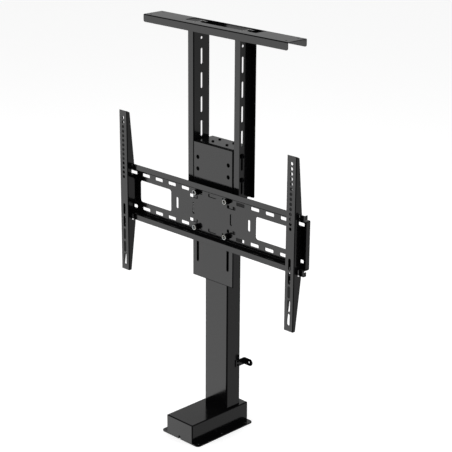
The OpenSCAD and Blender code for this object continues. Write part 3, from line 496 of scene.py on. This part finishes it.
SCREW = turned("screws", ("Head", "Rise", "Chamfer", "Cone", "Neck", "Shank", "Length",
                          "Drive", "Drive Depth", "Cross"), screw_rows, 2, columns=48)
NUT = turned("nuts", ("Across", "Height", "Face", "Face Height", "Bore"), nut_rows, 7)
RING = turned("rings", ("Foot", "Foot Height", "Body", "Height", "Chamfer", "Bore"),
              ring_rows, 9, columns=48)
SPINDLE = turned("spindle", ("Diameter", "Top"), spindle_rows, 12)
BALLS = bearing_balls()


def screw(head, rise, shank, length, drive, drive_depth, pitch, chamfer=0.4, cone=0.0,
          neck=0.0, cross=0.0):
    """The sizes of one kind of screw, in millimetres."""
    return {"Head": head, "Rise": rise, "Chamfer": chamfer, "Cone": cone, "Neck": neck,
            "Shank": shank, "Length": length, "Drive": drive, "Drive Depth": drive_depth,
            "Cross": cross, "Pitch": pitch, "Thread Depth": pitch * 0.54, "Starts": 1}


BOTH = (-1, 1)
DOWN, UP, FRONT, BACK = (0, 0, -1), (0, 0, 1), (0, -1, 0), (0, 1, 0)


def span(node):
    """A node's box in millimetres, as its lowest and highest corner."""
    return [[c / MM for c in corner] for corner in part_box(node)]


def corners(node, radius, fixed, place):
    """The four centres of a node's alike pieces, which stand in the corners of its box,
    a radius inside it. The axis numbered fixed is set to the given place."""
    low, high = span(node)
    ends = [(a + radius, b - radius) for a, b in zip(low, high)]
    ends[fixed] = (place,)
    return [(x, y, z) for x in ends[0] for y in ends[1] for z in ends[2]]


def upright_places(reach):
    """The four screws of the uprights, at that distance from the middle, and the way
    their heads face, which is outwards."""
    low, high = span("side_spacers")
    y = (low[1] + high[1]) / 2
    radius = 6.5
    return [((s * reach, y, z), (s, 0, 0)) for s in BOTH
            for z in (low[2] + radius, high[2] - radius)]


def ring(foot, foot_height, body, height, chamfer, bore):
    """The sizes of one kind of plain ring, in millimetres."""
    return {"Foot": foot, "Foot Height": foot_height, "Body": body, "Height": height,
            "Chamfer": chamfer, "Bore": bore, "Pitch": 9, "Thread Depth": 0, "Starts": 1}


def nut(across, height, face, face_height, bore, pitch):
    """The sizes of one kind of nut, in millimetres."""
    return {"Across": across, "Height": height, "Face": face, "Face Height": face_height,
            "Bore": bore, "Pitch": pitch, "Thread Depth": -0.4 * pitch, "Starts": 1}


def plate_fasteners():
    """The four big screws of the tv plate with their collars and nuts."""
    head, collar, foot = 14.5, 7, 17
    off_the_plate = 0.05  # keeps the washers' faces out of the plate's back plane
    web_front = span("bolt_collars")[1][1]
    nut_seat = span("plate_nuts")[0][1] + off_the_plate
    fit("plate_screws", SCREW,
        [(p, FRONT) for p in corners("plate_bolts", head / 2, 1, web_front - collar)],
        screw(head, 5.5, 8.0, 21.0, 8.0, 4.0, 1.25, chamfer=1.0, neck=4.0),
        "zinc", "tv_plate", "plate_bolts")
    fit("plate_collars", RING,
        [(p, FRONT) for p in corners("bolt_collars", foot / 2, 1, web_front)],
        ring(foot, 2, 13, collar, 0.4, 8.4), "black_steel", "tv_plate", "bolt_collars")
    fit("plate_hex_nuts", NUT,
        [(p, BACK) for p in corners("plate_nuts", foot / 2, 1, nut_seat)],
        nut(13, 8, foot, 1.6, 8, 1.25), "zinc", "tv_plate", "plate_nuts")


def upright_fasteners():
    """The screws that hold the uprights in their slots, with washers, spacers, nuts."""
    spacer, washer, sheet = 3.5, 1.5, 2
    web_in = span("side_spacers")[1][0]
    side_out = web_in - spacer
    web_out = web_in + sheet
    fit("upright_screws", SCREW, upright_places(web_out + washer),
        screw(10, 3.5, 6.0, 17.0, 4.0, 2.0, 1.0), "black_steel", "carriage")
    fit("upright_washers", RING, upright_places(web_out),
        ring(14, 1.2, 13.2, washer, 0.15, 6.4), "black_steel", "carriage", "side_bolts")
    fit("upright_spacers", RING, upright_places(side_out),
        ring(13, 1.5, 12.6, spacer, 0.3, 6.4), "zinc", "carriage", "side_spacers")
    inward = [(place, (-way[0], 0, 0)) for place, way in upright_places(side_out - sheet)]
    fit("upright_nuts", NUT, inward, nut(10, 5, 9.4, 0.4, 6, 1.0),
        "zinc", "carriage", "side_nuts")


def lid_fasteners():
    """Two flush screws in front and two low heads in the cut-out of the lid support."""
    low, high = span("lid_screws")
    lid_top = span("lid_support")[1][2]
    across = high[0] - 5.5
    fit("lid_flush_screws", SCREW,
        [((s * across, low[1] + 5, lid_top - 0.1), UP) for s in BOTH],
        screw(10, 0.05, 6.0, 13.9, 4.0, 2.4, 1.0, chamfer=0.02, cone=1.9),
        "zinc", "lid_frame", "lid_screws")
    fit("lid_low_screws", SCREW,
        [((s * across, high[1] - 5.5, lid_top - 2), UP) for s in BOTH],
        screw(11, 2.0, 6.0, 12.0, 4.0, 1.8, 1.0, chamfer=0.6), "zinc", "lid_frame")


def small_fasteners():
    """The screws of the carriage's cap, the wall tab, the base's foot, the gear housing
    and the arms."""
    cap, head = span("carriage_bracket")[1][2], 7.5
    fit("cap_screws", SCREW, [(p, UP) for p in corners("plug_screws", head / 2, 2, cap)],
        screw(head, 2.4, 5.0, 16.0, 4.0, 1.6, 0.8, chamfer=0.5), "black_steel", "carriage",
        "plug_screws")
    low, high = span("clip_screws")
    head, rise = 5.6, 1.6
    heights = (low[2] + head / 2, high[2] - head / 2)
    fit("tab_screws", SCREW,
        [((high[0] - rise, (low[1] + high[1]) / 2, z), (1, 0, 0)) for z in heights],
        screw(head, rise, 3.0, 4.5, 2.4, 1.2, 0.5, chamfer=0.5), "black_steel", "base",
        "clip_screws")
    fit("foot_screws", SCREW, [(p, DOWN) for p in corners("cover_screws", 3.8, 2, 0.2)],
        screw(7.6, 0.02, 4.0, 7.8, 5.0, 1.0, 0.7, chamfer=0.01, cone=1.7, cross=1.0),
        "zinc", "base", "cover_screws")
    housing = span("gearbox_cover")[1][2]
    fit("gear_housing_screws", SCREW,
        [(p, UP) for p in corners("gearbox_screws", 2.7, 2, housing)],
        screw(5.4, 2.4, 3.0, 12.0, 2.5, 1.4, 0.5), "zinc", "base", "gearbox_screws")
    for side in ("left", "right"):
        low, high = span("lock_screw_" + side)
        rise = 8.0
        fit("arm_screw_" + side, SCREW,
            [(((low[0] + high[0]) / 2, (low[1] + high[1]) / 2, low[2] + rise), DOWN)],
            screw(9, rise, 5.0, 42.0, 4.0, 4.0, 0.8, chamfer=0.5),
            "zinc", "arm_" + side, "lock_screw_" + side)


def drive_parts():
    """The lead screw with its thread, and the thrust bearing with its balls."""
    fit("threaded_spindle", SPINDLE, [((0, 0, 0), UP)],
        {"Diameter": 14, "Top": span("lead_screw")[1][2], "Pitch": 4,
         "Thread Depth": 1.8, "Starts": 2},
        "machined_steel", "screw", "lead_screw")
    low, high = span("thrust_bearing")
    fit("bearing_races", RING, [((0, 0, low[2]), UP), ((0, 0, high[2]), DOWN)],
        ring(24, 0.9, 23.6, 1.3, 0.2, 12.6), "machined_steel", "base", "thrust_bearing")
    balls, track, middle = 14, 9.15, (low[2] + high[2]) / 2
    circle = [(track * math.cos(a), track * math.sin(a), middle)
              for a in (math.tau * i / balls for i in range(balls))]
    fit("bearing_ball_set", BALLS, [(place, UP) for place in circle], {"Ball": 2.5},
        "machined_steel", "base")


# Camera, light and floor
def camera():
    """The photograph's camera: its place, turn and lens, fitted to the object."""
    azimuth, elevation, roll = (math.radians(a) for a in (44.711, 18.937, 0.384))
    back = Vector((math.sin(azimuth) * math.cos(elevation),
                   -math.cos(azimuth) * math.cos(elevation), math.sin(elevation)))
    right = Vector((math.cos(azimuth), math.sin(azimuth), 0))
    turn = Matrix((right, back.cross(right), back)).transposed().to_4x4()
    lens = bpy.data.cameras.new("camera")
    lens.lens, lens.sensor_width = 111.81, 36.0
    lens.clip_start, lens.clip_end = 0.1, 100.0
    eye = bpy.data.objects.new("camera", lens)
    eye.matrix_world = (Matrix.Translation(Vector((2416.5, -2431.1, 1730.96)) * MM)
                        @ turn @ Matrix.Rotation(roll, 4, "Z"))
    bpy.context.scene.collection.objects.link(eye)
    bpy.context.scene.camera = eye


def studio():
    """A white room. Cameras see it pure white. Glossy surfaces see low panels at the
    front left and the back right, a raised one at the back left, and dark elsewhere."""
    world = bpy.data.worlds.new("studio")
    bpy.context.scene.world = world
    world.use_nodes = True
    tree = world.node_tree
    toward = put(tree, "ShaderNodeTexCoord").outputs["Generated"]
    height = put(tree, "ShaderNodeSeparateXYZ", {0: toward}).outputs["Z"]

    def ramp(value, start, end, low=0.0, high=1.0):
        """A smooth change from low to high while the value goes from start to end."""
        return put(tree, "ShaderNodeMapRange", {
            "Value": value, "From Min": start, "From Max": end,
            "To Min": low, "To Max": high}, interpolation_type="SMOOTHSTEP").outputs[0]

    def panel(direction, level, narrow, full, heights):
        """Light around a compass direction, between cosines narrow and full, that is
        shaped over the height by (start, end, low, high) ramps."""
        cosine = put(tree, "ShaderNodeVectorMath", {
            0: toward, 1: Vector(direction).normalized()},
            operation="DOT_PRODUCT").outputs["Value"]
        light = ramp(cosine, narrow, full, 0.0, level)
        for shape in heights:
            light = maths(tree, "MULTIPLY", light, ramp(height, *shape))
        return light

    low = [(-0.65, -0.45, 0.0, 1.0), (-0.05, 0.25, 1.0, 0.0)]
    raised = [(-0.12, 0.04, 0.0, 1.0), (0.46, 0.62, 1.0, 0.0)]
    total = 0.02
    for light in (panel((-1, -0.7, 0), 1.0, 0.62, 0.9, low),
                  panel((1, 1, 0), 0.28, 0.62, 0.9, low),
                  panel((-1, 1, 0), 0.40, 0.4, 0.85, raised)):
        total = maths(tree, "ADD", total, light)
    path = put(tree, "ShaderNodeLightPath").outputs
    mirrored = maths(tree, "MAXIMUM", path["Is Glossy Ray"], path["Is Transmission Ray"])
    level = put(tree, "ShaderNodeMix", {"Factor": mirrored, "A": 0.5, "B": total})
    level = put(tree, "ShaderNodeMix", {
        "Factor": path["Is Camera Ray"], "A": level.outputs[0], "B": 1.0})
    sky = tree.nodes["Background"]
    sky.inputs["Color"].default_value = (1, 1, 1, 1)
    tree.links.new(level.outputs[0], sky.inputs["Strength"])


def lamp(name, place, size, watts):
    """A soft square lamp that faces the middle of the lift."""
    light = bpy.data.lights.new(name, "AREA")
    light.shape, light.size, light.energy = "SQUARE", size, watts
    holder = bpy.data.objects.new(name, light)
    target = Vector((0, 0, 0.55))
    holder.location = place
    holder.rotation_euler = (Vector(place) - target).to_track_quat("Z", "Y").to_euler()
    holder.visible_glossy = False
    bpy.context.scene.collection.objects.link(holder)


def floor():
    """A pale floor: white to the camera, and it keeps a faint shadow."""
    mesh = bpy.data.meshes.new("floor")
    reach = 15.0
    mesh.from_pydata([(-reach, -reach, 0), (reach, -reach, 0), (reach, reach, 0),
                      (-reach, reach, 0)], [], [(0, 1, 2, 3)])
    piece = bpy.data.objects.new("floor", mesh)
    bpy.context.scene.collection.objects.link(piece)
    material, tree, shader, _ = surface("floor_white", "#cfcfcf", roughness=0.9)
    shader.inputs["Specular IOR Level"].default_value = 0.0
    shader.inputs["Emission Color"].default_value = (1, 1, 1, 1)
    seen = put(tree, "ShaderNodeLightPath").outputs["Is Camera Ray"]
    tree.links.new(put(tree, "ShaderNodeMath", {0: seen, 1: 0.62},
                       operation="MULTIPLY").outputs[0], shader.inputs["Emission Strength"])
    mesh.materials.append(material)
    piece.visible_glossy = False
    piece.location.z = -0.0005


plate_fasteners()
upright_fasteners()
lid_fasteners()
small_fasteners()
drive_parts()
camera()
studio()
lamp("front_left", (-1.6, -2.2, 1.9), 1.6, 30)
lamp("right", (2.6, 0.6, 1.6), 1.6, 12)
lamp("above", (-0.3, 0.6, 3.2), 1.8, 22)
floor()
bpy.context.scene.view_settings.view_transform = "Standard"
